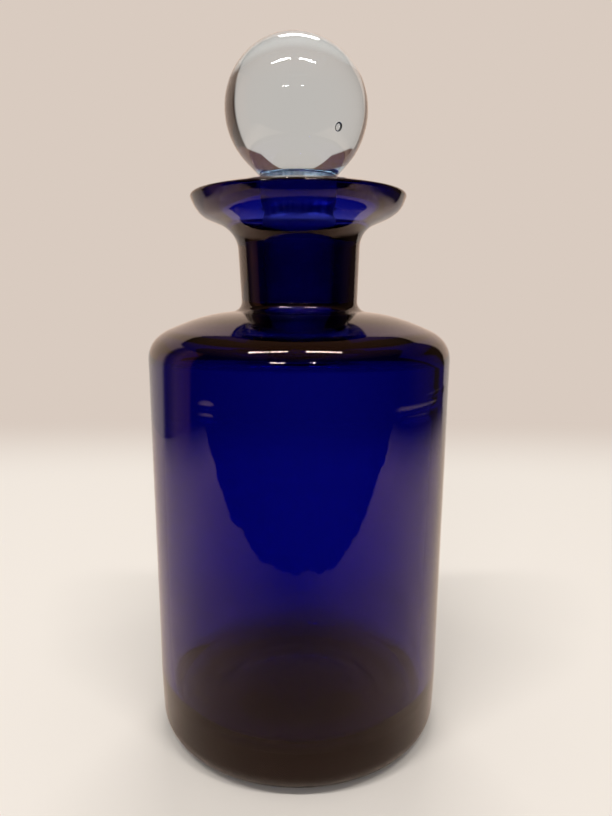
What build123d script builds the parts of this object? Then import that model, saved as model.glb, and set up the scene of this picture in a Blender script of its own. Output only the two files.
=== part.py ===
from build123d import *
import os
from math import cos, radians, sin, tan

# Stoppered poison bottle: a blown bottle of cobalt glass with a flared lip, and a solid
# ball stopper of clear glass whose ground, tapered plug seats in the bottle's neck.
# Lengths are in millimetres, slopes in degrees from the level. The origin is on the
# bottle's axis, at the level of the surface that the foot ring stands on; +Z is up.
# Both pieces are turned about +Z. A corner is written as (radius, height).

# Body of the bottle
body_radius = 40.0  # at the shoulder
body_taper = 1.1  # the side is this much narrower down at the heel
body_wall = 3.8

# Shoulder: a steep edge, then a flatter slope up to the crown
shoulder_height = 106.6  # where the side and the edge would meet
shoulder_rounding = 7.5
shoulder_edge_slope = 38.5
shoulder_edge_width = 4.3
shoulder_edge_rounding = 10.5
shoulder_slope = 22.5
shoulder_wall = 4.8

# Heel and foot
heel_draw_in = 0.7  # the side leans in further towards the foot
heel_draw_height = 16.0
heel_draw_rounding = 120.0
heel_rounding = 6.7
inner_heel_rounding = 9.0
foot_ring_width = 13.0  # from the side's foot in to the kick-up, heel rounding and all
foot_ring_rounding = 15.0
base_thickness = 8.0

# Kick-up in the middle of the base
kick_radius = 9.0
kick_height = 4.0
kick_thickness = 8.0
kick_rounding = 55.0
floor_ring_width = 14.0
floor_ring_rounding = 20.0

# Crown of the shoulder, between its slope and the neck
crown_radius = 24.9
crown_slope = 5.5
crown_rounding = 46.0
crown_wall = 5.0

# Neck
neck_radius = 15.3
neck_height = 20.6
neck_swell = 0.9  # the neck is this much wider at the throat
neck_root_rounding = 2.8
neck_mouth_rounding = 3.0  # inside, where the neck opens into the body

# Flared lip
throat_rounding = 7.1
flare_slope = 22.5
flare_thickness = 2.9
funnel_slope = 38.0  # inside, from the flare's corner down to the seat
funnel_rounding = 5.0
lip_radius = 28.25  # at its edge
lip_side_height = 4.75
lip_side_slope = 68.0
lip_side_rounding = 7.5
lip_edge_rounding = 0.8
rim_slope = 15.0
rim_width = 4.4  # from the lip's edge in to the crest
rim_crest_rounding = 5.0
rim_flat = 0.8  # from the crest in to the rim's inner corner
rim_inner_rounding = 1.5
rim_step = 5.65  # from the rim's inner corner in to the flare's inner corner
rim_step_rounding = 8.0

# Ground seat in the neck and the stopper's plug in it
plug_radius = 10.1  # at its top
plug_length = 29.4
plug_taper = 0.05  # radius lost for each unit of depth, 1 in 10 on the diameter
plug_stand_off = 3.84  # from the rim up to the top of the plug
plug_tip_chamfer = 1.0
seat_clearance = 0.05
seat_lift = 7.7  # from the inside of the crown at the neck up to the seat's foot
seat_ledge = 0.65  # the blown bore under the seat is this much wider

# Ball of the stopper
ball_radius = 18.4
ball_crown = 18.15  # from its widest level up to its top
ball_foot_slope = 46.5  # cone between the ball and the plug
ball_foot_rounding = 0.6

# A corner's rounding takes up to this share of a side, with its neighbour's
rounding_room_share = 0.98

# Handles of a curve through a quarter of an ellipse, as a share of its half axes
quarter_handle = 0.5523

os.makedirs("parts", exist_ok=True)


def rise(run, slope):
    """Height gained along a level run at a slope."""
    return run * tan(radians(slope))


def fitted(corners, roundings):
    """Roundings of the corners between a path's two ends, each held to the room there.

    A rounding reaches back along both of its sides. Where it and its neighbour need
    more than the side between them, both shrink alike.
    """
    points = [Vector(corner) for corner in corners]
    sides = [after - before for before, after in zip(points, points[1:])]
    turns = [before.get_angle(after) for before, after in zip(sides, sides[1:])]
    reaches = [r * tan(radians(turn) / 2) for r, turn in zip(roundings, turns)]
    needs = [near + far for near, far in zip([0, *reaches], [*reaches, 0])]
    shares = [
        min(1, rounding_room_share * side.length / need) if need else 1
        for side, need in zip(sides, needs)
    ]
    return [r * min(pair) for r, pair in zip(roundings, zip(shares, shares[1:]))]


# Heights that follow from the sizes above
heel_radius = body_radius - body_taper
foot_radius = heel_radius - heel_draw_in
edge_radius = body_radius - shoulder_edge_width
edge_height = shoulder_height + rise(shoulder_edge_width, shoulder_edge_slope)
crown_height = edge_height + rise(edge_radius - crown_radius, shoulder_slope)
neck_root_height = crown_height + rise(crown_radius - neck_radius, crown_slope)
throat_radius = neck_radius + neck_swell
throat_height = neck_root_height + neck_height
lip_foot_radius = lip_radius - lip_side_height / tan(radians(lip_side_slope))
lip_foot_height = throat_height + rise(lip_foot_radius - throat_radius, flare_slope)
lip_height = lip_foot_height + lip_side_height
rim_height = lip_height + rise(rim_width, rim_slope)
plug_top = rim_height + plug_stand_off
plug_tip = plug_top - plug_length


def plug_radius_at(height):
    """Radius of the plug's cone at a height."""
    return plug_radius - plug_taper * (plug_top - height)


# Inside of the shoulder, one wall in from its outside, where the wall is thicker
inner_radius = body_radius - body_wall
edge_drop = shoulder_wall / cos(radians(shoulder_edge_slope))
inner_shoulder_height = shoulder_height + rise(body_wall, shoulder_edge_slope) - edge_drop
inner_edge_inset = (edge_drop - shoulder_wall / cos(radians(shoulder_slope))) / (
    tan(radians(shoulder_edge_slope)) - tan(radians(shoulder_slope))
)
inner_edge_radius = edge_radius - inner_edge_inset
inner_edge_height = edge_height + rise(inner_edge_inset, shoulder_edge_slope) - edge_drop
inner_crown_height = crown_height - crown_wall / cos(radians(crown_slope))
neck_floor_height = inner_crown_height + rise(crown_radius - neck_radius, crown_slope)
seat_foot_height = neck_floor_height + seat_lift
seat_foot_radius = plug_radius_at(seat_foot_height) + seat_clearance
neck_bore_radius = seat_foot_radius + seat_ledge
neck_mouth_height = neck_floor_height + rise(neck_radius - neck_bore_radius, crown_slope)

# Inside of the flare: its corner stands off the outside by the flare's thickness, and
# the funnel falls from there to the seat
rim_crest_radius = lip_radius - rim_width
rim_inner_radius = rim_crest_radius - rim_flat
funnel_radius = rim_inner_radius - rim_step
funnel_height = (
    throat_height
    + rise(funnel_radius - throat_radius, flare_slope)
    + flare_thickness / cos(radians(flare_slope))
)
seat_top_height = funnel_height - rise(funnel_radius - plug_radius, funnel_slope)
seat_top_radius = plug_radius_at(seat_top_height) + seat_clearance

# Corners of the bottle's section, from the middle of its underside round the outside,
# over the lip and down the inside to the middle of its floor, each with its rounding
foot_inner_radius = foot_radius - foot_ring_width
floor_radius = heel_radius - body_wall
floor_inner_radius = floor_radius - floor_ring_width
floor_height = kick_height + kick_thickness
bottle_corners = [
    ((0, kick_height), 0),
    ((kick_radius, kick_height), kick_rounding),
    ((foot_inner_radius, 0), foot_ring_rounding),
    ((foot_radius, 0), heel_rounding),
    ((heel_radius, heel_draw_height), heel_draw_rounding),
    ((body_radius, shoulder_height), shoulder_rounding),
    ((edge_radius, edge_height), shoulder_edge_rounding),
    ((crown_radius, crown_height), crown_rounding),
    ((neck_radius, neck_root_height), neck_root_rounding),
    ((throat_radius, throat_height), throat_rounding),
    ((lip_foot_radius, lip_foot_height), lip_side_rounding),
    ((lip_radius, lip_height), lip_edge_rounding),
    ((rim_crest_radius, rim_height), rim_crest_rounding),
    ((rim_inner_radius, rim_height), rim_inner_rounding),
    ((funnel_radius, funnel_height), rim_step_rounding),
    ((seat_top_radius, seat_top_height), funnel_rounding),
    ((seat_foot_radius, seat_foot_height), 0),
    ((neck_bore_radius, neck_mouth_height), neck_mouth_rounding),
    ((crown_radius, inner_crown_height), crown_rounding - crown_wall),
    ((inner_edge_radius, inner_edge_height), shoulder_edge_rounding - shoulder_wall),
    ((inner_radius, inner_shoulder_height), shoulder_rounding - body_wall),
    ((floor_radius, base_thickness), inner_heel_rounding),
    ((floor_inner_radius, base_thickness), floor_ring_rounding),
    ((kick_radius, floor_height), kick_rounding),
    ((0, floor_height), 0),
]
section = [corner for corner, rounding in bottle_corners]
roundings = [rounding for corner, rounding in bottle_corners]

# Bottle: the section is turned a full circle about the axis
with BuildPart() as bottle:
    with BuildSketch(Plane.XZ):
        with BuildLine():
            FilletPolyline(*section, radius=fitted(section, roundings[1:-1]))
            Line(section[-1], section[0])
        make_face()
    revolve(axis=Axis.Z)
bottle.part.label = "bottle"
export_step(bottle.part, "parts/bottle.step")

# The ball leaves its sphere where the sphere's own slope is that of the foot cone
foot_cone_radius = ball_radius * sin(radians(ball_foot_slope))
foot_cone_top = plug_top + rise(foot_cone_radius - plug_radius, ball_foot_slope)
ball_height = foot_cone_top + ball_radius * cos(radians(ball_foot_slope))
ball_arc = 90 - ball_foot_slope
chamfer_top = plug_tip + plug_tip_chamfer

# Stopper: half the ball's outline, a little flattened on top, its foot cone and the
# plug, turned about the axis
with BuildPart() as stopper:
    with BuildSketch(Plane.XZ):
        with BuildLine():
            crown = Bezier(
                (ball_radius, ball_height),
                (ball_radius, ball_height + quarter_handle * ball_crown),
                (quarter_handle * ball_radius, ball_height + ball_crown),
                (0, ball_height + ball_crown),
            )
            ball = CenterArc((0, ball_height), ball_radius, 0, -ball_arc)
            FilletPolyline(
                ball @ 1,
                (plug_radius, plug_top),
                (plug_radius_at(chamfer_top), chamfer_top),
                (plug_radius_at(chamfer_top) - plug_tip_chamfer, plug_tip),
                (0, plug_tip),
                radius=[ball_foot_rounding, 0, 0],
            )
            Line((0, plug_tip), crown @ 1)
        make_face()
    revolve(axis=Axis.Z)
stopper.part.label = "stopper"
export_step(stopper.part, "parts/stopper.step")

print("height", ball_height + ball_crown, "rim", rim_height)
print("plug", plug_tip, "to", plug_top, "ball centre", ball_height)
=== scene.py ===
"""Looks of a stoppered poison bottle: hand-blown cobalt glass and a clear ball stopper.

Both pieces are surfaces of revolution with what a blowing iron and a grinding wheel leave:
walls that wander, a neck that leans, a lip that tips, short ripples, a bubble in the ball
and a frosted seat. The pieces' sizes are in millimetres in their classes and in metres in
their meshes. The studio's are in metres.
"""

import logging
import math
from dataclasses import dataclass, field
from enum import Enum
from typing import Any

import bpy
import numpy as np
from mathutils import Matrix, Vector


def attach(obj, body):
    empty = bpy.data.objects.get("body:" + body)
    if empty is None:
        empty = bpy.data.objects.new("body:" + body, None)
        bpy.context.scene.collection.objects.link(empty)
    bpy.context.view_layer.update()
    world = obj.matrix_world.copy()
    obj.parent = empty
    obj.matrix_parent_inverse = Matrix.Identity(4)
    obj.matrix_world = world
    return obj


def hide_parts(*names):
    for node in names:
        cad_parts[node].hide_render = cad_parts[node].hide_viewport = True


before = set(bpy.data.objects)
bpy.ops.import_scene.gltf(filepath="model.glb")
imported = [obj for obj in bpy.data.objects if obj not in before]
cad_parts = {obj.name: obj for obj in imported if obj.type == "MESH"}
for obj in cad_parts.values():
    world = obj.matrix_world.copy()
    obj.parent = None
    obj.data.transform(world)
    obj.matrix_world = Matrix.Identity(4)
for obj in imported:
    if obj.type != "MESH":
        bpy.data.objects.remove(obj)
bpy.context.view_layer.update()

MM = 0.001
TINY = 1e-9  # keeps a division off zero
ROUNDING_ROOM_SHARE = 0.98  # of a side, that the roundings at its two ends may take up
MOST_BOUNCES = 24  # light meets many walls of glass on its way through bottle and stopper
MOST_MIRRORINGS = 12

log = logging.getLogger("poison_bottle")

# A corner of an outline: its radius and height, and its rounding
Corner = tuple[tuple[float, float], float]


class Surface(Enum):
    """How a stretch of glass was finished, as the roughness that it gives."""

    FIRE_POLISHED = 0.0
    GROUND = 0.4


def linear(hex_colour: str) -> tuple[float, float, float, float]:
    """An sRGB hex colour as linear red, green, blue and full alpha.

    Args:
        hex_colour: Six hex digits after a hash sign.

    Returns:
        The linear values that a shader socket takes.
    """
    shares = [int(hex_colour[at : at + 2], 16) / 255 for at in (1, 3, 5)]
    return (*(s / 12.92 if s <= 0.04045 else ((s + 0.055) / 1.055) ** 2.4 for s in shares), 1.0)


def add_node(
    tree: bpy.types.NodeTree,
    kind: str,
    settings: dict[str | int, Any],
    links: dict[str | int, bpy.types.NodeSocket],
) -> bpy.types.Node:
    """Adds one node with its settings and the links into it.

    Args:
        tree: Node tree that gets the node.
        kind: Blender's node type.
        settings: Node properties by name, or input values by socket name or number.
        links: Output sockets by the name or number of the input they feed.

    Returns:
        The new node.
    """
    node = tree.nodes.new(kind)
    for name, value in settings.items():
        if isinstance(name, str) and hasattr(node, name):
            setattr(node, name, value)
        else:
            node.inputs[name].default_value = value
    for name, output in links.items():
        tree.links.new(output, node.inputs[name])
    return node


def bare_material(name: str) -> bpy.types.Material:
    """Makes a material with an empty node tree.

    Args:
        name: Name of the material.

    Returns:
        The new material.
    """
    material = bpy.data.materials.new(name)
    material.use_nodes = True
    material.node_tree.nodes.clear()
    return material


def glass_rays(tree: bpy.types.NodeTree) -> tuple[bpy.types.NodeSocket, bpy.types.NodeSocket]:
    """Adds the nodes that tell what the glass sends on from what the camera sees by itself.

    A ray that the glass lets through counts as glossy and as transmitted, so the
    difference of the two leaves the mirrored ones.

    Args:
        tree: Node tree of the world or of the floor.

    Returns:
        A socket that is one for every ray from the glass, and one for mirrored rays alone.
    """
    path = add_node(tree, "ShaderNodeLightPath", {}, {})
    kinds = {0: path.outputs["Is Glossy Ray"], 1: path.outputs["Is Transmission Ray"]}
    glass = add_node(tree, "ShaderNodeMath", {"operation": "MAXIMUM"}, kinds)
    mirrored = add_node(tree, "ShaderNodeMath", {"operation": "SUBTRACT"}, kinds)
    return glass.outputs[0], mirrored.outputs[0]


def smooth_step(values: np.ndarray, start: float, end: float) -> np.ndarray:
    """Zero before start, one after end, and 3t^2 - 2t^3 of the share t between them."""
    t = np.clip((values - start) / (end - start), 0, 1)
    return t * t * (3 - 2 * t)


def bell(values: np.ndarray, centre: float | np.ndarray, width: float) -> np.ndarray:
    """One at the centre, falling as e to minus the square of the distance over the width."""
    return np.exp(-(((values - centre) / width) ** 2))


def rise(run: float, slope: float) -> float:
    """Height gained along a level run at a slope in degrees."""
    return run * math.tan(math.radians(slope))


def rounded_path(corners: list[Corner], turn_step: float, run_step: float) -> np.ndarray:
    """Points along a path of straight runs whose corners are rounded by tangent arcs.

    An arc of radius r in a corner that turns by an angle reaches r tan(half the angle)
    back along both sides. Its centre stands r off both, and its points are the centre
    plus r times the turned normal. Where two arcs need more than the side between them,
    both shrink alike.

    Args:
        corners: Each corner's radius and height, with its rounding.
        turn_step: Most degrees from one point of an arc to the next.
        run_step: Longest straight step, in millimetres.

    Returns:
        An array of radius and height, one row for each point.
    """
    points = np.array([corner for corner, _ in corners], float)
    sides = np.diff(points, axis=0)
    lengths = np.hypot(*sides.T)
    headings = np.unwrap(np.arctan2(sides[:, 1], sides[:, 0]))
    turns = np.diff(headings)
    radii = np.array([rounding for _, rounding in corners[1:-1]], float)
    reaches = radii * np.tan(np.abs(turns) / 2)
    needs = np.r_[0, reaches] + np.r_[reaches, 0]
    shares = np.minimum(1, ROUNDING_ROOM_SHARE * lengths / np.maximum(needs, TINY))
    reaches = reaches * np.minimum(shares[:-1], shares[1:])
    radii = reaches / np.tan(np.maximum(np.abs(turns), TINY) / 2)
    made = [points[:1]]
    for at, (radius, turn, reach, heading) in enumerate(zip(radii, turns, reaches, headings), start=1):
        start = points[at] - sides[at - 1] / lengths[at - 1] * reach
        steps = max(2, math.ceil(abs(math.degrees(turn)) / turn_step))
        side = math.copysign(1.0, turn)
        normal = np.array([-math.sin(heading), math.cos(heading)]) * side
        centre = start + normal * radius
        angles = math.atan2(-normal[1], -normal[0]) + turn * np.linspace(0, 1, steps + 1)
        arc = centre + radius * np.stack([np.cos(angles), np.sin(angles)], axis=1)
        made += [straight(made[-1][-1], start, run_step), arc]
    made.append(straight(made[-1][-1], points[-1], run_step))
    made.append(points[-1:])
    return np.concatenate(made)


def straight(start: np.ndarray, end: np.ndarray, step: float) -> np.ndarray:
    """Points between two ends, at even shares of the way.

    Args:
        start: Radius and height of one end.
        end: Radius and height of the other.
        step: Most that two points are apart, in millimetres.

    Returns:
        An array of radius and height, without the two ends.
    """
    count = math.ceil(float(np.hypot(*(end - start))) / step)
    shares = np.arange(1, max(count, 1))[:, None] / max(count, 1)
    return start + (end - start) * shares


def refined(path: np.ndarray, low: float, high: float, step: float) -> np.ndarray:
    """Puts points a step apart in height on the path's outside, for marks finer than its own.

    Args:
        path: Radius and height, up the outside first and then down the inside.
        low: Height of the first new point.
        high: Height that the new points stop below.
        step: Height from one new point to the next.

    Returns:
        The path with the new points in place of its own between the two heights.
    """
    top = int(np.argmax(path[:, 1]))
    heights = np.arange(low, high, step)
    outer = path[: top + 1]
    extra = np.stack([np.interp(heights, outer[:, 1], outer[:, 0]), heights], axis=1)
    keep = outer[(outer[:, 1] < low - step / 2) | (outer[:, 1] > high - step / 2)]
    before = keep[keep[:, 1] < low]
    after = keep[keep[:, 1] >= low]
    return np.concatenate([before, extra, after, path[top + 1 :]])


@dataclass(frozen=True)
class Wave:
    """A slow wave round a wall, the amount times cos(lobes x angle + phase + twist x height)."""

    amount: float
    lobes: int
    phase: float
    twist: float = 0.0

    def at(self, turn: np.ndarray, height: np.ndarray) -> np.ndarray:
        """The wave at each angle and height."""
        return self.amount * np.cos(self.lobes * turn + self.phase + self.twist * height)

    def below_zero(self, turn: np.ndarray, height: np.ndarray) -> np.ndarray:
        """The wave lowered until its crests reach zero, so that a wall only gets smaller."""
        return self.at(turn, height) - self.amount


@dataclass(frozen=True)
class Dimple:
    """A small hollow: its depth times a bell over the angle and a bell over the height."""

    angle: float
    height: float
    depth: float
    half_angle: float = 3.3
    half_height: float = 0.9

    def at(self, angle: np.ndarray, height: np.ndarray) -> np.ndarray:
        """Depth of the hollow at each angle, in degrees, and height."""
        across = bell(angle, self.angle, self.half_angle)
        return self.depth * across * bell(height, self.height, self.half_height)


@dataclass(frozen=True)
class Stroke:
    """A hollow drawn round the body that fades in and out, and climbs with the angle squared."""

    fade_in: tuple[float, float]
    fade_out: tuple[float, float]
    height: float
    depth: float
    climb: float = 0.0
    climb_start: float = 34.0
    half_height: float = 0.7

    def at(self, angle: np.ndarray, height: np.ndarray) -> np.ndarray:
        """Works out the hollow's depth, its length's share times a bell about its middle.

        Args:
            angle: Degrees round the body.
            height: Heights on the wall.

        Returns:
            The depth at each angle and height.
        """
        length = smooth_step(angle, *self.fade_in) * (1 - smooth_step(angle, *self.fade_out))
        middle = self.height + self.climb * np.maximum(angle - self.climb_start, 0) ** 2
        return self.depth * length * bell(height, middle, self.half_height)


@dataclass
class Shell:
    """Vertices and faces of one or more closed surfaces, gathered before they become a mesh."""

    vertices: list[np.ndarray] = field(default_factory=list)
    quads: list[np.ndarray] = field(default_factory=list)
    triangles: list[np.ndarray] = field(default_factory=list)
    count: int = 0

    def add(self, vertices: np.ndarray, quads: np.ndarray, triangles: np.ndarray) -> None:
        """Adds one closed surface, in millimetres.

        Args:
            vertices: Points, one row each.
            quads: Four vertex numbers to a row.
            triangles: Three vertex numbers to a row.
        """
        self.vertices.append(vertices)
        self.quads.append(quads + self.count)
        self.triangles.append(triangles + self.count)
        self.count += len(vertices)

    def turned(self, rings: np.ndarray, first_pole: np.ndarray, last_pole: np.ndarray) -> None:
        """Adds a surface of closed rings between two poles, facing the right of its run.

        Args:
            rings: Array of ring, place round it, and x y z.
            first_pole: Point that closes the first ring.
            last_pole: Point that closes the last ring.
        """
        rows, around, _ = rings.shape
        index = np.arange(rows * around).reshape(rows, around)
        onward = np.roll(index, -1, axis=1)
        quads = np.stack([index[:-1], onward[:-1], onward[1:], index[1:]], axis=-1).reshape(-1, 4)
        low, high = rows * around, rows * around + 1
        start = np.stack([np.full(around, low), onward[0], index[0]], axis=-1)
        end = np.stack([np.full(around, high), index[-1], onward[-1]], axis=-1)
        vertices = np.concatenate([rings.reshape(-1, 3), [first_pole], [last_pole]])
        self.add(vertices, quads, np.concatenate([start, end]))

    def bubble(self, centre: np.ndarray, half_axes: np.ndarray, rings: int, around: int) -> None:
        """Adds an ellipsoid bubble, which faces inwards because the glass is outside it.

        A point is the centre plus each half axis times (sin a cos b, sin a sin b, cos a).

        Args:
            centre: Place of its middle.
            half_axes: Half its length along x, y and z.
            rings: Rings between its poles.
            around: Points round a ring.
        """
        down = np.linspace(0, math.pi, rings + 2)[1:-1, None]
        turn = np.linspace(0, math.tau, around, endpoint=False)[None, :]
        unit = np.stack([np.sin(down) * np.cos(turn), np.sin(down) * np.sin(turn), np.cos(down) + 0 * turn],
                        axis=-1)
        pole = half_axes * [0, 0, 1]
        self.turned(centre + unit * half_axes, centre + pole, centre - pole)

    def mesh(self, name: str) -> bpy.types.Object:
        """Makes the gathered surfaces one smooth mesh object in metres.

        Args:
            name: Name of the piece.

        Returns:
            The new object, at the origin.
        """
        data = bpy.data.meshes.new(name)
        faces = np.concatenate(self.quads).tolist() + np.concatenate(self.triangles).tolist()
        data.from_pydata((np.concatenate(self.vertices) * MM).tolist(), [], faces)
        data.polygons.foreach_set("use_smooth", np.ones(len(data.polygons), bool))
        data.update()
        piece = bpy.data.objects.new(name, data)
        bpy.context.scene.collection.objects.link(piece)
        return piece


@dataclass(frozen=True)
class Lean:
    """How far the hand-set neck and the ball in it stand off the body's axis, along X."""

    neck_start: float = 106.0
    neck_full: float = 122.0
    neck_slope: float = -0.0135
    ball_start: float = 149.0
    ball_full: float = 160.0
    ball_shift: float = -0.28

    def at(self, heights: np.ndarray) -> np.ndarray:
        """Works out the neck's sideways shift: a slope that starts softly.

        Args:
            heights: Heights in millimetres.

        Returns:
            The shift along X at each height, in millimetres.
        """
        middle = (self.neck_start + self.neck_full) / 2
        run = (heights - middle) * smooth_step(heights, self.neck_start, self.neck_full)
        return self.neck_slope * run

    def ball_at(self, heights: np.ndarray) -> np.ndarray:
        """Shift of the stopper: the neck's, and a soft step that sets the ball further over."""
        return self.at(heights) + self.ball_shift * smooth_step(heights, self.ball_start, self.ball_full)


@dataclass(frozen=True)
class CobaltGlass:
    """Soda-lime glass coloured with cobalt oxide, blown and fire-polished.

    Cobalt takes red and green within a millimetre or two and lets a deep blue through,
    so thick glass looks black and the thin rims of the wall look pale. Cooling on the iron
    leaves a skin that swells a little, which makes mirrored edges waver. What it mirrors
    head-on gets a painted warm tint. The seat in the neck is ground with grit and looks grey.
    """

    ior: float = 1.52
    # painted warm tint on what the glass mirrors, strongest head-on
    mirror_tint: str = "#FFDACB"
    passed: str = "#0045E1"
    density: float = 900.3  # taken up by each metre of glass
    swell_spacing: float = 18.18
    swell_height: float = 0.02

    # The seat: what lies within this radius and between these heights
    seat_radius: float = 11.6
    seat_foot: float = 117.5
    seat_top: float = 133.9

    def material(self) -> bpy.types.Material:
        """Builds the material.

        Returns:
            Glass with an absorbing volume, a skin that swells faintly and a frosted seat.
        """
        glass = bare_material("cobalt_soda_lime_glass")
        tree = glass.node_tree
        place = add_node(tree, "ShaderNodeTexCoord", {}, {}).outputs["Object"]
        axes = add_node(tree, "ShaderNodeSeparateXYZ", {}, {0: place})
        level = add_node(tree, "ShaderNodeCombineXYZ", {}, {0: axes.outputs[0], 1: axes.outputs[1]})
        radius = add_node(tree, "ShaderNodeVectorMath", {"operation": "LENGTH"}, {0: level.outputs[0]})
        inside = add_node(tree, "ShaderNodeMath", {"operation": "LESS_THAN", 1: self.seat_radius * MM},
                          {0: radius.outputs["Value"]})
        above = add_node(tree, "ShaderNodeMath", {"operation": "GREATER_THAN", 1: self.seat_foot * MM},
                         {0: axes.outputs[2]})
        below = add_node(tree, "ShaderNodeMath", {"operation": "LESS_THAN", 1: self.seat_top * MM},
                         {0: axes.outputs[2]})
        band = add_node(tree, "ShaderNodeMath", {"operation": "MULTIPLY"},
                        {0: above.outputs[0], 1: below.outputs[0]})
        ground = add_node(tree, "ShaderNodeMath", {"operation": "MULTIPLY"},
                          {0: inside.outputs[0], 1: band.outputs[0]})
        grey = add_node(tree, "ShaderNodeMix", {2: Surface.FIRE_POLISHED.value, 3: Surface.GROUND.value},
                        {0: ground.outputs[0]})
        swells = add_node(tree, "ShaderNodeTexNoise",
                          {"Scale": 1 / (self.swell_spacing * MM), "Detail": 1.0}, {"Vector": place})
        bump = add_node(tree, "ShaderNodeBump", {"Strength": 1.0, "Distance": self.swell_height * MM},
                        {"Height": swells.outputs[0]})
        shader = add_node(tree, "ShaderNodeBsdfPrincipled",
                          {"Base Color": linear("#FFFFFF"), "IOR": self.ior, "Transmission Weight": 1.0,
                           "Specular Tint": linear(self.mirror_tint)},
                          {"Roughness": grey.outputs[0], "Normal": bump.outputs[0]})
        volume = add_node(tree, "ShaderNodeVolumeAbsorption",
                          {"Color": linear(self.passed), "Density": self.density}, {})
        add_node(tree, "ShaderNodeOutputMaterial", {},
                 {"Surface": shader.outputs[0], "Volume": volume.outputs[0]})
        return glass


@dataclass(frozen=True)
class ClearGlass:
    """Clear pressed soda-lime glass, a trace of iron in it, with a wheel-ground plug.

    The iron gives the ball a cool grey-green body. The grinding turns the plug white, and
    the band that shows over the rim has the grinding's lines down its length, tinted greyish
    blue by painted light from the cobalt seat round it.
    """

    ior: float = 1.52
    passed: str = "#76C5E6"
    density: float = 8.0  # taken up by each metre of glass
    ground_top: float = 149.6
    grit_spacing: float = 0.3846  # real grit is finer, and is drawn as coarse as shows
    grit_height: float = 0.04
    # The band over the rim: lines drawn out along the plug, in greyish blue that is painted light from the
    # cobalt seat
    streak_spacing: float = 1.111
    streak_stretch: float = 10.0
    streak_shares: tuple[float, float] = (0.35, 0.65)
    streaks_in_seat_light_from: tuple[float, float] = (144.4, 145.6)
    streak_dark_in_seat_light: str = "#6F8299"
    streak_pale_in_seat_light: str = "#C6D0DA"

    def material(self) -> bpy.types.Material:
        """Builds the material.

        Returns:
            Faintly tinted glass, polished on the ball and frosted on the plug.
        """
        glass = bare_material("clear_soda_lime_glass")
        tree = glass.node_tree
        place = add_node(tree, "ShaderNodeTexCoord", {}, {}).outputs["Object"]
        axes = add_node(tree, "ShaderNodeSeparateXYZ", {}, {0: place})
        ground = add_node(tree, "ShaderNodeMath", {"operation": "LESS_THAN", 1: self.ground_top * MM},
                          {0: axes.outputs[2]})
        grey = add_node(tree, "ShaderNodeMix", {2: Surface.FIRE_POLISHED.value, 3: Surface.GROUND.value},
                        {0: ground.outputs[0]})
        grit = add_node(tree, "ShaderNodeTexNoise", {"Scale": 1 / (self.grit_spacing * MM), "Detail": 2.0},
                        {"Vector": place})
        bump = add_node(tree, "ShaderNodeBump", {"Distance": self.grit_height * MM},
                        {"Height": grit.outputs[0], "Strength": grey.outputs[0]})
        # painted light: the band over the rim takes the cobalt seat's blue into its colour
        start, full = self.streaks_in_seat_light_from
        near_top = add_node(tree, "ShaderNodeMapRange", {1: start * MM, 2: full * MM}, {0: axes.outputs[2]})
        streaked_lit_band = add_node(tree, "ShaderNodeMath", {"operation": "MULTIPLY"},
                            {0: ground.outputs[0], 1: near_top.outputs[0]})
        colour = add_node(tree, "ShaderNodeMix", {"data_type": "RGBA", 6: linear("#FFFFFF")},
                          {0: streaked_lit_band.outputs[0], 7: self.streaks_in_seat_light(tree, place)})
        shader = add_node(tree, "ShaderNodeBsdfPrincipled",
                          {"IOR": self.ior, "Transmission Weight": 1.0},
                          {"Base Color": colour.outputs[2], "Roughness": grey.outputs[0],
                           "Normal": bump.outputs[0]})
        volume = add_node(tree, "ShaderNodeVolumeAbsorption",
                          {"Color": linear(self.passed), "Density": self.density}, {})
        add_node(tree, "ShaderNodeOutputMaterial", {},
                 {"Surface": shader.outputs[0], "Volume": volume.outputs[0]})
        return glass

    def streaks_in_seat_light(self, tree: bpy.types.NodeTree, place: bpy.types.NodeSocket) -> bpy.types.NodeSocket:
        """Adds the nodes that colour the band over the rim: lines of noise drawn out along its length, in
        the cobalt seat's painted blue light.

        Args:
            tree: Node tree of the glass.
            place: Object coordinates.

        Returns:
            The socket with the colour.
        """
        drawn = add_node(tree, "ShaderNodeVectorMath",
                         {"operation": "MULTIPLY", 1: (1.0, 1.0, 1 / self.streak_stretch)}, {0: place})
        noise = add_node(tree, "ShaderNodeTexNoise",
                         {"Scale": 1 / (self.streak_spacing * MM), "Detail": 2.0},
                         {"Vector": drawn.outputs[0]})
        share = add_node(tree, "ShaderNodeMapRange", {1: self.streak_shares[0], 2: self.streak_shares[1]},
                         {0: noise.outputs[0]})
        colour = add_node(tree, "ShaderNodeMix",
                          {"data_type": "RGBA", 6: linear(self.streak_dark_in_seat_light), 7: linear(self.streak_pale_in_seat_light)},
                          {0: share.outputs[0]})
        return colour.outputs[2]


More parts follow.
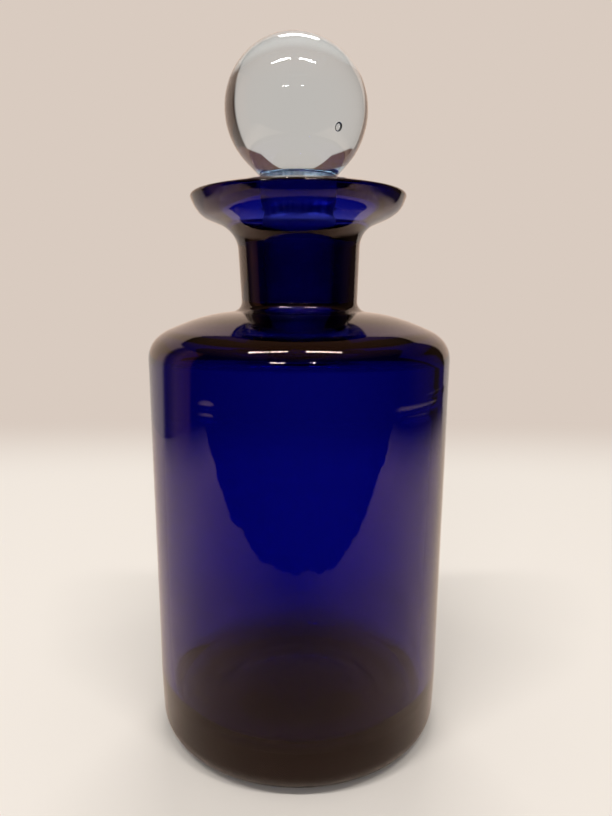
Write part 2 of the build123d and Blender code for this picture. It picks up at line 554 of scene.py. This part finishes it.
@dataclass
class Bottle:
    """The blown bottle: foot, body, shoulder, neck and flared lip in one wall of glass.

    Slopes are in degrees from the level. Angles round the bottle are in degrees from its
    front, and grow towards its right side. A rounding is the radius of a corner's arc.
    """

    body_radius: float = 40.0
    body_taper: float = 1.1  # the side is this much narrower down at the heel
    wall: float = 3.8
    shoulder_height: float = 106.6  # where the side and the steep edge would meet
    shoulder_rounding: float = 7.5
    shoulder_wall: float = 4.8
    edge_slope: float = 38.5
    edge_width: float = 4.3
    edge_rounding: float = 10.5
    shoulder_slope: float = 22.5
    heel_draw_in: float = 0.7  # the side leans in further towards the foot
    heel_draw_height: float = 16.0
    heel_draw_rounding: float = 120.0
    heel_rounding: float = 6.7
    inner_heel_rounding: float = 9.0
    foot_ring_width: float = 13.0  # from the side's foot in to the kick-up
    foot_ring_rounding: float = 15.0
    base_thickness: float = 8.0
    kick_radius: float = 9.0
    kick_height: float = 4.0
    kick_thickness: float = 8.0
    kick_rounding: float = 55.0
    floor_ring_width: float = 14.0
    floor_ring_rounding: float = 20.0
    crown_radius: float = 24.9
    crown_slope: float = 5.5
    crown_rounding: float = 46.0
    crown_wall: float = 5.0
    neck_radius: float = 15.3
    neck_height: float = 20.6
    neck_swell: float = 0.9  # the neck is this much wider at the throat
    neck_root_rounding: float = 2.8
    neck_mouth_rounding: float = 3.0  # where the neck opens into the body
    throat_rounding: float = 7.1
    flare_slope: float = 22.5
    flare_thickness: float = 2.9
    funnel_slope: float = 38.0  # inside, from the flare's corner down to the seat
    funnel_rounding: float = 5.0
    lip_radius: float = 28.25
    lip_side_height: float = 4.75
    lip_side_slope: float = 68.0
    lip_side_rounding: float = 7.5
    lip_edge_rounding: float = 0.8
    rim_slope: float = 15.0
    rim_width: float = 4.4  # from the lip's edge in to the crest
    rim_crest_rounding: float = 5.0
    rim_flat: float = 0.8  # from the crest in to the rim's inner corner
    rim_inner_rounding: float = 1.5
    rim_step: float = 5.65  # from there in to the flare's inner corner
    rim_step_rounding: float = 8.0
    plug_radius: float = 10.1
    plug_taper: float = 0.05
    plug_stand_off: float = 3.84  # from the rim up to the top of the plug
    seat_clearance: float = 0.05
    seat_lift: float = 7.7  # from the crown's inside at the neck up to the seat's foot
    seat_ledge: float = 0.65  # the blown bore under the seat is this much wider
    seat_foot_rounding: float = 0.2

    around: int = 256  # points round the bottle

    # What the hand leaves, each with the heights or radii that it grows or fades between
    wander_in: tuple[float, float] = (8.0, 30.0)
    wander_out: tuple[float, float] = (96.0, 110.0)
    wander_radii: tuple[float, float] = (30.0, 34.0)
    throat_shift: float = -0.5
    throat_in: tuple[float, float] = (131.0, 138.5)
    throat_out: tuple[float, float] = (138.5, 141.5)
    lip_tilt: float = 0.006
    tilt_in: tuple[float, float] = (135.0, 142.0)
    lean: Lean = field(default_factory=Lean)
    outer_wave: Wave = Wave(0.05, 2, 0.6, 0.012)
    inner_waves: tuple[Wave, ...] = (Wave(0.22, 1, 2.1, 0.01), Wave(0.15, 3, -0.8, -0.02))
    ripples: tuple[Dimple | Stroke, ...] = (
        Dimple(-31.2, 94.6, 0.17),
        Dimple(-31.2, 92.2, 0.136),
        Stroke((32, 36), (54, 60), 93.2, 0.13, climb=0.0016, half_height=0.8),
        Stroke((35, 39), (48, 54), 91.5, 0.104),
        Stroke((46, 50), (60, 66), 95.5, 0.091, climb=0.0016),
    )

    @property
    def heel_radius(self) -> float:
        """Radius of the side where it starts to draw in to the foot."""
        return self.body_radius - self.body_taper

    @property
    def edge_radius(self) -> float:
        """Radius where the shoulder's steep edge meets its flatter slope."""
        return self.body_radius - self.edge_width

    @property
    def edge_height(self) -> float:
        """Height where the shoulder's steep edge meets its flatter slope."""
        return self.shoulder_height + rise(self.edge_width, self.edge_slope)

    @property
    def crown_height(self) -> float:
        """Height where the shoulder's slope meets the crown."""
        return self.edge_height + rise(self.edge_radius - self.crown_radius, self.shoulder_slope)

    @property
    def root_height(self) -> float:
        """Height of the neck's root on the crown."""
        return self.crown_height + rise(self.crown_radius - self.neck_radius, self.crown_slope)

    @property
    def throat(self) -> tuple[float, float]:
        """Radius and height where the neck would meet the flare."""
        return self.neck_radius + self.neck_swell, self.root_height + self.neck_height

    @property
    def lip_foot(self) -> tuple[float, float]:
        """Radius and height where the flare would meet the lip's side."""
        radius = self.lip_radius - self.lip_side_height / math.tan(math.radians(self.lip_side_slope))
        return radius, self.throat[1] + rise(radius - self.throat[0], self.flare_slope)

    @property
    def rim_height(self) -> float:
        """Height of the rim's crest."""
        return self.lip_foot[1] + self.lip_side_height + rise(self.rim_width, self.rim_slope)

    def outside(self) -> list[Corner]:
        """Lists the corners up the outside.

        Returns:
            Corners from the underside's centre to the lip's edge.
        """
        foot_radius = self.heel_radius - self.heel_draw_in
        return [
            ((0.0, self.kick_height), 0.0),
            ((self.kick_radius, self.kick_height), self.kick_rounding),
            ((foot_radius - self.foot_ring_width, 0.0), self.foot_ring_rounding),
            ((foot_radius, 0.0), self.heel_rounding),
            ((self.heel_radius, self.heel_draw_height), self.heel_draw_rounding),
            ((self.body_radius, self.shoulder_height), self.shoulder_rounding),
            ((self.edge_radius, self.edge_height), self.edge_rounding),
            ((self.crown_radius, self.crown_height), self.crown_rounding),
            ((self.neck_radius, self.root_height), self.neck_root_rounding),
            (self.throat, self.throat_rounding),
            (self.lip_foot, self.lip_side_rounding),
            ((self.lip_radius, self.lip_foot[1] + self.lip_side_height), self.lip_edge_rounding),
        ]

    def funnel(self) -> list[Corner]:
        """Lists the corners of the lip's and the neck's inside.

        Returns:
            Corners from the rim's crest down the funnel and the ground seat to the mouth
            of the bore.
        """
        crest_radius = self.lip_radius - self.rim_width
        inner_radius = crest_radius - self.rim_flat
        funnel_radius = inner_radius - self.rim_step
        funnel_height = (self.throat[1] + rise(funnel_radius - self.throat[0], self.flare_slope)
                         + self.flare_thickness / math.cos(math.radians(self.flare_slope)))
        seat_top = funnel_height - rise(funnel_radius - self.plug_radius, self.funnel_slope)
        neck_floor = self.inner_crown + rise(self.crown_radius - self.neck_radius, self.crown_slope)
        seat_foot = neck_floor + self.seat_lift
        bore_radius = self.seat_radius(seat_foot) + self.seat_ledge
        mouth_height = neck_floor + rise(self.neck_radius - bore_radius, self.crown_slope)
        return [
            ((crest_radius, self.rim_height), self.rim_crest_rounding),
            ((inner_radius, self.rim_height), self.rim_inner_rounding),
            ((funnel_radius, funnel_height), self.rim_step_rounding),
            ((self.seat_radius(seat_top), seat_top), self.funnel_rounding),
            ((self.seat_radius(seat_foot), seat_foot), self.seat_foot_rounding),
            ((bore_radius, mouth_height), self.neck_mouth_rounding),
        ]

    def inside(self) -> list[Corner]:
        """Lists the corners down the body's inside.

        The inner edge stands where the two slopes of the shoulder, each moved in by the
        shoulder's wall, would meet.

        Returns:
            Corners from under the crown to the floor's centre.
        """
        edge_drop = self.shoulder_wall / math.cos(math.radians(self.edge_slope))
        slope_drop = self.shoulder_wall / math.cos(math.radians(self.shoulder_slope))
        inset = (edge_drop - slope_drop) / (rise(1, self.edge_slope) - rise(1, self.shoulder_slope))
        edge_height = self.edge_height + rise(inset, self.edge_slope) - edge_drop
        shoulder_height = self.shoulder_height + rise(self.wall, self.edge_slope) - edge_drop
        floor_radius = self.heel_radius - self.wall
        floor_height = self.kick_height + self.kick_thickness
        return [
            ((self.crown_radius, self.inner_crown), self.crown_rounding - self.crown_wall),
            ((self.edge_radius - inset, edge_height), self.edge_rounding - self.shoulder_wall),
            ((self.body_radius - self.wall, shoulder_height), self.shoulder_rounding - self.wall),
            ((floor_radius, self.base_thickness), self.inner_heel_rounding),
            ((floor_radius - self.floor_ring_width, self.base_thickness), self.floor_ring_rounding),
            ((self.kick_radius, floor_height), self.kick_rounding),
            ((0.0, floor_height), 0.0),
        ]

    @property
    def inner_crown(self) -> float:
        """Height of the crown's inside, one crown wall under its outer corner."""
        return self.crown_height - self.crown_wall / math.cos(math.radians(self.crown_slope))

    def seat_radius(self, height: float) -> float:
        """Radius of the ground seat at a height: the plug's there, and the clearance."""
        plug_top = self.rim_height + self.plug_stand_off
        return self.plug_radius - self.plug_taper * (plug_top - height) + self.seat_clearance

    def section(self) -> np.ndarray:
        """Works out the wall's section, with close points where the ripples are.

        Returns:
            Radius and height of points from the underside's centre, round the outside and
            over the lip, down the inside to the floor's centre.
        """
        path = rounded_path(self.outside() + self.funnel() + self.inside(), turn_step=4.0, run_step=3.5)
        return refined(path, low=88.0, high=100.0, step=0.5)

    def build(self) -> bpy.types.Object:
        """Turns the section about the axis and lets the walls wander as blown ones do.

        A point stands at the section's radius plus the waves of its side of the wall, less
        the ripples outside, and shifts sideways with the lean. The outside of the throat
        stands a little further over and the lip tips to one side, as a lip tooled by hand
        does: its height changes by the tilt times the distance across.

        Returns:
            The bottle's mesh object.
        """
        section = self.section()
        turn = np.linspace(0, math.tau, self.around, endpoint=False)[None, :]
        angle = np.degrees((turn + math.pi) % math.tau - math.pi)
        radius, height = section[1:-1, :1], section[1:-1, 1:]
        outside = (np.arange(1, len(section) - 1) <= int(np.argmax(section[:, 1])))[:, None]
        body = (smooth_step(height, *self.wander_in) * (1 - smooth_step(height, *self.wander_out))
                * smooth_step(radius, *self.wander_radii))
        ripples = sum(mark.at(angle, height) for mark in self.ripples)
        outer = body * self.outer_wave.below_zero(turn, height) - ripples
        inner = body * sum(wave.at(turn, height) for wave in self.inner_waves)
        radius = radius + np.where(outside, outer, inner)
        throat = smooth_step(height, *self.throat_in) * (1 - smooth_step(height, *self.throat_out))
        sideways = self.lean.at(height) + np.where(outside, self.throat_shift * throat, 0)
        across = radius * np.sin(turn)
        upward = height + self.lip_tilt * across * smooth_step(height, *self.tilt_in)
        rings = np.stack([across + sideways, -radius * np.cos(turn), upward], axis=-1)
        shell = Shell()
        shell.turned(rings, np.array([0, 0, section[0, 1]]), np.array([0, 0, section[-1, 1]]))
        return shell.mesh("cobalt_bottle")

    def dress(self, piece: bpy.types.Object) -> None:
        """Gives the bottle its glass and its place in the frame.

        Args:
            piece: The bottle's mesh object.
        """
        piece.data.materials.append(CobaltGlass().material())
        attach(piece, "bottle")
        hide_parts("bottle")


@dataclass
class Stopper:
    """The solid stopper: a ball a little flat on top, a short cone and a ground plug.

    The bubble lies low in the ball, in front and to the right, just under its surface.
    """

    plug_top: float = 149.983
    plug_length: float = 29.4
    plug_radius: float = 10.1
    plug_taper: float = 0.05
    tip_chamfer: float = 1.0
    ball_radius: float = 18.4
    ball_crown: float = 18.15  # from its widest height up to its top
    foot_slope: float = 46.5  # of the cone between the ball and the plug
    tip_rounding: float = 0.15
    foot_rounding: float = 0.6
    around: int = 256  # points round the stopper
    arc_points: int = 32
    crown_points: int = 64
    ball_from: tuple[float, float] = (152.0, 160.0)  # where the ball's wave grows
    ball_wave: Wave = Wave(0.06, 2, 1.1)
    bubble_centre: tuple[float, float, float] = (8.9, -12.5, 159.4)
    bubble_half_axes: tuple[float, float, float] = (1.0, 0.7, 1.15)
    lean: Lean = field(default_factory=Lean)

    def outline(self) -> np.ndarray:
        """Works out the stopper's outline: the plug, the cone, the ball and its flatter crown.

        The ball leaves its sphere where the sphere's own slope is that of the cone. Above
        its widest height it is half an ellipsoid.

        Returns:
            Radius and height of points from the plug's tip up to the top of the ball.
        """
        slope = math.radians(self.foot_slope)
        cone_radius = self.ball_radius * math.sin(slope)
        cone_top = self.plug_top + rise(cone_radius - self.plug_radius, self.foot_slope)
        centre = cone_top + self.ball_radius * math.cos(slope)
        tip = self.plug_top - self.plug_length
        chamfer_radius = self.plug_radius - self.plug_taper * (self.plug_length - self.tip_chamfer)
        corners = [
            ((0.0, tip), 0.0),
            ((chamfer_radius - self.tip_chamfer, tip), self.tip_rounding),
            ((chamfer_radius, tip + self.tip_chamfer), self.tip_rounding),
            ((self.plug_radius, self.plug_top), self.foot_rounding),
            ((cone_radius, cone_top), 0.0),
        ]
        plug = rounded_path(corners, turn_step=8.0, run_step=1.5)
        low = np.linspace(slope - math.pi / 2, 0, self.arc_points)[1:]
        high = np.linspace(0, math.pi / 2, self.crown_points)[1:]
        ball = np.stack([np.cos(low), np.sin(low)], axis=1) * self.ball_radius
        crown = np.stack([np.cos(high) * self.ball_radius, np.sin(high) * self.ball_crown], axis=1)
        return np.concatenate([plug, ball + [0, centre], crown + [0, centre]])

    def build(self) -> bpy.types.Object:
        """Turns the outline about the axis, with a wave round the ball and a bubble in it.

        Returns:
            The stopper's mesh object.
        """
        outline = self.outline()
        turn = np.linspace(0, math.tau, self.around, endpoint=False)[None, :]
        radius, height = outline[1:-1, :1], outline[1:-1, 1:]
        radius = radius + smooth_step(height, *self.ball_from) * self.ball_wave.below_zero(turn, height)
        rings = np.stack([radius * np.sin(turn) + self.lean.ball_at(height), -radius * np.cos(turn),
                          height + 0 * turn], axis=-1)
        ends = outline[[0, -1], 1]
        poles = np.stack([self.lean.ball_at(ends), 0 * ends, ends], axis=1)
        shell = Shell()
        shell.turned(rings, poles[0], poles[1])
        shell.bubble(np.array(self.bubble_centre), np.array(self.bubble_half_axes), rings=12, around=20)
        return shell.mesh("clear_ball_stopper")

    def dress(self, piece: bpy.types.Object) -> None:
        """Gives the stopper its glass and its place in the frame.

        Args:
            piece: The stopper's mesh object.
        """
        piece.data.materials.append(ClearGlass().material())
        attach(piece, "stopper")
        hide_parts("stopper")


@dataclass(frozen=True)
class StripLamp:
    """A long bright panel, level along X and tipped towards the bottle."""

    name: str
    centre: tuple[float, float, float]
    length: float
    width: float
    radiance: float
    mirrored_only: bool = False
    aim_height: float = 0.1

    def place(self) -> None:
        """Adds the lamp. Its power is its radiance times pi times its area."""
        data = bpy.data.lights.new(self.name, "AREA")
        data.shape = "RECTANGLE"
        data.size, data.size_y = self.length, self.width
        data.energy = self.radiance * math.pi * self.length * self.width
        lamp = bpy.data.objects.new(self.name, data)
        lamp.location = self.centre
        lamp.visible_transmission = not self.mirrored_only
        aim = Vector((self.centre[0], 0, self.aim_height)) - Vector(self.centre)
        lamp.rotation_euler = aim.to_track_quat("-Z", "Y").to_euler()
        bpy.context.scene.collection.objects.link(lamp)


@dataclass
class Studio:
    """The pale table and backdrop, the darker room that only the glass sees, and the lamps.

    Places and sizes are in metres. In a direction, a height is the sine of the elevation
    and an azimuth is in radians from straight behind the bottle.
    """

    table: str = "#EDE4DA"
    backdrop: str = "#D9CBC0"
    plain: str = "#A8A8A8"
    shade: str = "#16110F"
    ceiling_low: str = "#3C322C"
    ceiling_through: str = "#70524A"
    ceiling_high: str = "#826857"
    # Painted reflection: what the glass mirrors, table and room, is warmer, and the room brighter, than
    # what the camera sees
    mirror_warmth: str = "#FFF1E7"
    mirror_gain: float = 0.2

    # The backdrop's top edge: raised in the middle, and sinking towards both sides
    edge_heights: tuple[float, float] = (0.69, 0.72)
    edge_sink: float = 0.17
    edge_sink_end: float = 0.9
    edge_raised: float = 0.2
    raised_until: tuple[float, float] = (0.26, 0.5)
    overhead: tuple[float, float] = (0.6, 0.94)

    # The floor, the table on it, where the glass sees the table end, and the painted shadow that darkens
    # its front for the glass
    floor_radius: float = 6.0
    floor_sides: int = 96
    floor_drop: float = 0.0002
    table_end: float = 0.245
    backdrop_start: float = 0.476
    table_squareness: float = 6.0
    table_front: float = -0.165
    table_left: float = -0.447
    table_right: float = 0.49
    left_slant: float = -0.41
    front_wobble: float = 0.06
    wobble_spacing: float = 0.0625
    # The painted shadow at the table's front: its middle, its stretch along y, its reach and its darkest
    # share
    dim_middle: float = -0.01
    dim_stretch: float = 1.7
    dim_reach: tuple[float, float] = (0.02, 0.30)
    dimmest: float = 0.85

    lamps: tuple[StripLamp, ...] = (
        StripLamp("lamp_back", (0.07, 1.12, 2.0), 0.86, 0.30, 14.0, mirrored_only=True),
        StripLamp("lamp_front_left", (-0.665, -0.87, 2.0), 0.91, 0.12, 46.0),
        StripLamp("lamp_front_right", (0.52, -0.87, 2.0), 0.76, 0.12, 42.0),
        StripLamp("lamp_low_left", (-0.295, -0.97, 0.545), 0.235, 0.024, 60.0),
        StripLamp("lamp_low_right", (0.17, -0.97, 0.545), 0.08, 0.024, 60.0),
    )

    def build(self) -> None:
        """Adds the floor, the world and the lamps."""
        self.floor()
        self.world()
        for lamp in self.lamps:
            lamp.place()

    def walls(self, tree: bpy.types.NodeTree, turn: bpy.types.NodeSocket) -> bpy.types.NodeSocket:
        """Adds the nodes that give the colour at the horizon.

        Args:
            tree: Node tree of the world or of the floor.
            turn: Azimuth.

        Returns:
            The socket with the colour: the backdrop's behind the bottle, the walls' at its
            sides and a dark room's in front.
        """
        share = add_node(tree, "ShaderNodeMapRange", {1: -math.pi, 2: math.pi}, {0: turn})
        ring = add_node(tree, "ShaderNodeValToRGB", {}, {0: share.outputs[0]})
        stops = (  # degrees to the right of straight behind, and the colour there
            (-98, self.shade), (-95, "#7A544C"), (-80, "#886858"), (-74, "#5A463C"), (-68, "#3A2E29"),
            (-65, "#5A4A40"), (-60, self.backdrop), (43, self.backdrop), (46, "#3E3029"), (60, "#453730"),
            (84, "#3A2E29"), (98, self.shade),
        )
        ramp = ring.color_ramp
        for degrees, colour in stops:
            ramp.elements.new((degrees + 180) / 360).color = linear(colour)
        ramp.elements[0].color = ramp.elements[-1].color = linear(self.shade)
        return ring.outputs[0]

    def room(self, tree: bpy.types.NodeTree, way: bpy.types.NodeSocket) -> bpy.types.NodeSocket:
        """Adds the nodes that give the room's colour in a direction.

        Below the backdrop's top edge it is the walls'. Above it is the ceiling's, which is
        paler overhead and where the glass lets it through.

        Args:
            tree: Node tree of the world or of the floor.
            way: Direction, or place on the floor, from the bottle.

        Returns:
            The socket with the colour.
        """
        axes = add_node(tree, "ShaderNodeSeparateXYZ", {}, {0: way})
        turn = add_node(tree, "ShaderNodeMath", {"operation": "ARCTAN2"},
                        {0: axes.outputs[0], 1: axes.outputs[1]})
        sideways = add_node(tree, "ShaderNodeMath", {"operation": "ABSOLUTE"}, {0: turn.outputs[0]})
        capped = add_node(tree, "ShaderNodeMath", {"operation": "MINIMUM", 1: self.edge_sink_end},
                          {0: sideways.outputs[0]})
        height = add_node(tree, "ShaderNodeMath", {"operation": "MULTIPLY_ADD", 1: self.edge_sink},
                          {0: capped.outputs[0], 2: axes.outputs[2]})
        start, end = self.raised_until
        middle = add_node(tree, "ShaderNodeMapRange", {1: start, 2: end, 3: -self.edge_raised, 4: 0.0},
                          {0: sideways.outputs[0]})
        lowered = add_node(tree, "ShaderNodeMath", {"operation": "ADD"},
                           {0: height.outputs[0], 1: middle.outputs[0]})
        low_edge, high_edge = self.edge_heights
        above = add_node(tree, "ShaderNodeMapRange",
                         {"interpolation_type": "SMOOTHSTEP", 1: low_edge, 2: high_edge},
                         {0: lowered.outputs[0]})
        overhead = add_node(tree, "ShaderNodeMapRange", {1: self.overhead[0], 2: self.overhead[1]},
                            {0: axes.outputs[2]})
        path = add_node(tree, "ShaderNodeLightPath", {}, {})
        low = add_node(tree, "ShaderNodeMix",
                       {"data_type": "RGBA", 6: linear(self.ceiling_low), 7: linear(self.ceiling_through)},
                       {0: path.outputs["Is Transmission Ray"]})
        ceiling = add_node(tree, "ShaderNodeMix", {"data_type": "RGBA", 7: linear(self.ceiling_high)},
                           {0: overhead.outputs[0], 6: low.outputs[2]})
        room = add_node(tree, "ShaderNodeMix", {"data_type": "RGBA"},
                        {0: above.outputs[0], 6: self.walls(tree, turn.outputs[0]), 7: ceiling.outputs[2]})
        return room.outputs[2]

    def away(self, tree: bpy.types.NodeTree, place: bpy.types.NodeSocket) -> bpy.types.NodeSocket:
        """Adds the nodes that go from zero on the table to one where the backdrop starts.

        The distance is the sixth root of x^6 + y^6, so the table is a rounded square.

        Args:
            tree: Node tree of the floor.
            place: Object coordinates.

        Returns:
            The socket with the share of the backdrop.
        """
        axes = add_node(tree, "ShaderNodeSeparateXYZ", {}, {0: place})
        powers = []
        for axis in axes.outputs[:2]:
            size = add_node(tree, "ShaderNodeMath", {"operation": "ABSOLUTE"}, {0: axis})
            powers.append(add_node(tree, "ShaderNodeMath", {"operation": "POWER", 1: self.table_squareness},
                                   {0: size.outputs[0]}))
        total = add_node(tree, "ShaderNodeMath", {"operation": "ADD"},
                         {0: powers[0].outputs[0], 1: powers[1].outputs[0]})
        root = add_node(tree, "ShaderNodeMath", {"operation": "POWER", 1: 1 / self.table_squareness},
                        {0: total.outputs[0]})
        away = add_node(tree, "ShaderNodeMapRange",
                        {"interpolation_type": "SMOOTHSTEP", 1: self.table_end, 2: self.backdrop_start},
                        {0: root.outputs[0]})
        return away.outputs[0]

    def edges(self, tree: bpy.types.NodeTree, place: bpy.types.NodeSocket) -> bpy.types.NodeSocket:
        """Adds the nodes that are one off the table: past its uneven front edge or its ends.

        Args:
            tree: Node tree of the floor.
            place: Object coordinates.

        Returns:
            The socket with one or zero.
        """
        axes = add_node(tree, "ShaderNodeSeparateXYZ", {}, {0: place})
        noise = add_node(tree, "ShaderNodeTexNoise",
                         {"Scale": 1 / self.wobble_spacing, "Detail": 8.0, "Roughness": 0.7},
                         {"Vector": place})
        nearest = self.table_front - self.front_wobble / 2
        edge = add_node(tree, "ShaderNodeMath",
                        {"operation": "MULTIPLY_ADD", 1: self.front_wobble, 2: nearest},
                        {0: noise.outputs[0]})
        front = add_node(tree, "ShaderNodeMath", {"operation": "LESS_THAN"},
                         {0: axes.outputs[1], 1: edge.outputs[0]})
        slant = add_node(tree, "ShaderNodeMath", {"operation": "MULTIPLY_ADD", 1: self.left_slant},
                         {0: axes.outputs[1], 2: axes.outputs[0]})
        left = add_node(tree, "ShaderNodeMath", {"operation": "LESS_THAN", 1: self.table_left},
                        {0: slant.outputs[0]})
        right = add_node(tree, "ShaderNodeMath", {"operation": "GREATER_THAN", 1: self.table_right},
                         {0: axes.outputs[0]})
        ends = add_node(tree, "ShaderNodeMath", {"operation": "MAXIMUM"},
                        {0: left.outputs[0], 1: right.outputs[0]})
        either = add_node(tree, "ShaderNodeMath", {"operation": "MAXIMUM"},
                          {0: front.outputs[0], 1: ends.outputs[0]})
        return either.outputs[0]

    def painted_front_shadow(self, tree: bpy.types.NodeTree, place: bpy.types.NodeSocket) -> bpy.types.NodeSocket:
        """Adds the nodes of a painted shadow that darkens the table round the middle of its front edge, for
        the glass alone.

        Args:
            tree: Node tree of the floor.
            place: Object coordinates.

        Returns:
            The socket with the share of shade, which falls with the distance.
        """
        stretched = add_node(tree, "ShaderNodeVectorMath",
                             {"operation": "MULTIPLY", 1: (1.0, self.dim_stretch, 0.0)}, {0: place})
        middle = (self.dim_middle, self.dim_stretch * self.table_front, 0.0)
        near = add_node(tree, "ShaderNodeVectorMath", {"operation": "DISTANCE", 1: middle},
                        {0: stretched.outputs[0]})
        start, end = self.dim_reach
        dim = add_node(tree, "ShaderNodeMapRange", {1: start, 2: end, 3: self.dimmest, 4: 0.0},
                       {0: near.outputs["Value"]})
        return dim.outputs[0]

    def paint(self) -> bpy.types.Material:
        """Builds the floor's material: a table in matt paint that turns into the backdrop.

        The paint shows no gloss, so the table is an even pale ground. The glass sees it
        warmer, as painted reflection, with edges, a painted shadow at its front, and the room
        beyond it.

        Returns:
            The material.
        """
        paint = bare_material("matt_white_table")
        tree = paint.node_tree
        place = add_node(tree, "ShaderNodeTexCoord", {}, {}).outputs["Object"]
        glass, mirrored = glass_rays(tree)
        away = self.away(tree, place)
        # painted reflection: the table is warmer where the glass mirrors it
        tinted = add_node(tree, "ShaderNodeMix",
                          {"data_type": "RGBA", "blend_type": "MULTIPLY", 6: linear(self.table),
                           7: linear(self.mirror_warmth)},
                          {0: mirrored})
        matt = add_node(tree, "ShaderNodeBsdfDiffuse", {}, {"Color": tinted.outputs[2]})
        glow = add_node(tree, "ShaderNodeEmission", {"Color": linear(self.backdrop)}, {})
        seen = add_node(tree, "ShaderNodeMixShader", {}, {0: away, 1: matt.outputs[0], 2: glow.outputs[0]})
        # painted shadow: the dark room's colour, glowing over the table's front where the glass sees it
        dark = add_node(tree, "ShaderNodeEmission", {"Color": linear(self.shade)}, {})
        shaded = add_node(tree, "ShaderNodeMixShader", {},
                          {0: self.painted_front_shadow(tree, place), 1: matt.outputs[0], 2: dark.outputs[0]})
        off = add_node(tree, "ShaderNodeMath", {"operation": "MAXIMUM"},
                       {0: away, 1: self.edges(tree, place)})
        beyond = add_node(tree, "ShaderNodeEmission", {}, {"Color": self.room(tree, place)})
        in_glass = add_node(tree, "ShaderNodeMixShader", {},
                            {0: off.outputs[0], 1: shaded.outputs[0], 2: beyond.outputs[0]})
        mix = add_node(tree, "ShaderNodeMixShader", {},
                       {0: glass, 1: seen.outputs[0], 2: in_glass.outputs[0]})
        add_node(tree, "ShaderNodeOutputMaterial", {}, {"Surface": mix.outputs[0]})
        return paint

    def floor(self) -> None:
        """Adds the floor, a wide painted disc just under the foot."""
        turn = np.linspace(0, math.tau, self.floor_sides, endpoint=False)
        level = np.full(self.floor_sides, -self.floor_drop)
        rim = np.stack([np.cos(turn) * self.floor_radius, np.sin(turn) * self.floor_radius, level], axis=1)
        data = bpy.data.meshes.new("floor")
        data.from_pydata(rim.tolist(), [], [list(range(self.floor_sides))])
        data.materials.append(self.paint())
        floor = bpy.data.objects.new("floor", data)
        bpy.context.scene.collection.objects.link(floor)

    def world(self) -> None:
        """Adds the world: backdrop to the camera, room to the glass, made warmer and brighter as painted
        reflection where the glass mirrors it, and an even grey light.
        """
        world = bpy.data.worlds.new("studio")
        bpy.context.scene.world = world
        world.use_nodes = True
        tree = world.node_tree
        tree.nodes.clear()
        way = add_node(tree, "ShaderNodeTexCoord", {}, {}).outputs["Generated"]
        path = add_node(tree, "ShaderNodeLightPath", {}, {})
        glass, mirrored = glass_rays(tree)
        lit = add_node(tree, "ShaderNodeMix", {"data_type": "RGBA", 6: linear(self.plain)},
                       {0: glass, 7: self.room(tree, way)})
        seen = add_node(tree, "ShaderNodeMix", {"data_type": "RGBA", 7: linear(self.backdrop)},
                        {0: path.outputs["Is Camera Ray"], 6: lit.outputs[2]})
        # painted reflection: the room that the glass mirrors is brighter and warmer
        gain = add_node(tree, "ShaderNodeMath", {"operation": "MULTIPLY_ADD", 1: self.mirror_gain, 2: 1.0},
                        {0: mirrored})
        warm = add_node(tree, "ShaderNodeMix",
                        {"data_type": "RGBA", "blend_type": "MULTIPLY", 7: linear(self.mirror_warmth)},
                        {0: mirrored, 6: seen.outputs[2]})
        sky = add_node(tree, "ShaderNodeBackground", {},
                       {"Color": warm.outputs[2], "Strength": gain.outputs[0]})
        add_node(tree, "ShaderNodeOutputWorld", {}, {"Surface": sky.outputs[0]})


@dataclass(frozen=True)
class Viewpoint:
    """Where the photograph was taken from, in metres, and which way, in degrees.

    The lens and the sensor's long side are in millimetres.
    """

    place: tuple[float, float, float] = (0.0, -0.1829, 0.1185)
    down: float = 9.17
    right: float = 0.574
    roll: float = 0.27
    lens: float = 29.78
    sensor: float = 36.0
    clip: tuple[float, float] = (0.01, 50.0)

    def set_up(self) -> None:
        """Makes the camera and the scene's use of it."""
        data = bpy.data.cameras.new("viewpoint")
        data.lens, data.sensor_width = self.lens, self.sensor
        data.clip_start, data.clip_end = self.clip
        camera = bpy.data.objects.new("viewpoint", data)
        turn = (Matrix.Rotation(math.radians(-self.right), 4, "Z")
                @ Matrix.Rotation(math.radians(90 - self.down), 4, "X")
                @ Matrix.Rotation(math.radians(self.roll), 4, "Z"))
        camera.matrix_world = Matrix.Translation(self.place) @ turn
        bpy.context.scene.collection.objects.link(camera)
        bpy.context.scene.camera = camera


def main() -> None:
    """Builds the viewpoint, the studio and both pieces, and reports each piece."""
    logging.basicConfig(level=logging.INFO, format="%(name)s: %(message)s")
    bpy.context.scene.view_settings.view_transform = "Standard"
    bpy.context.scene.cycles.max_bounces = MOST_BOUNCES
    bpy.context.scene.cycles.transmission_bounces = MOST_BOUNCES
    bpy.context.scene.cycles.glossy_bounces = MOST_MIRRORINGS
    Viewpoint().set_up()
    Studio().build()
    for maker in (Bottle(), Stopper()):
        piece = maker.build()
        maker.dress(piece)
        log.info("%s: %d faces", piece.name, len(piece.data.polygons))


if __name__ == "__main__":
    main()
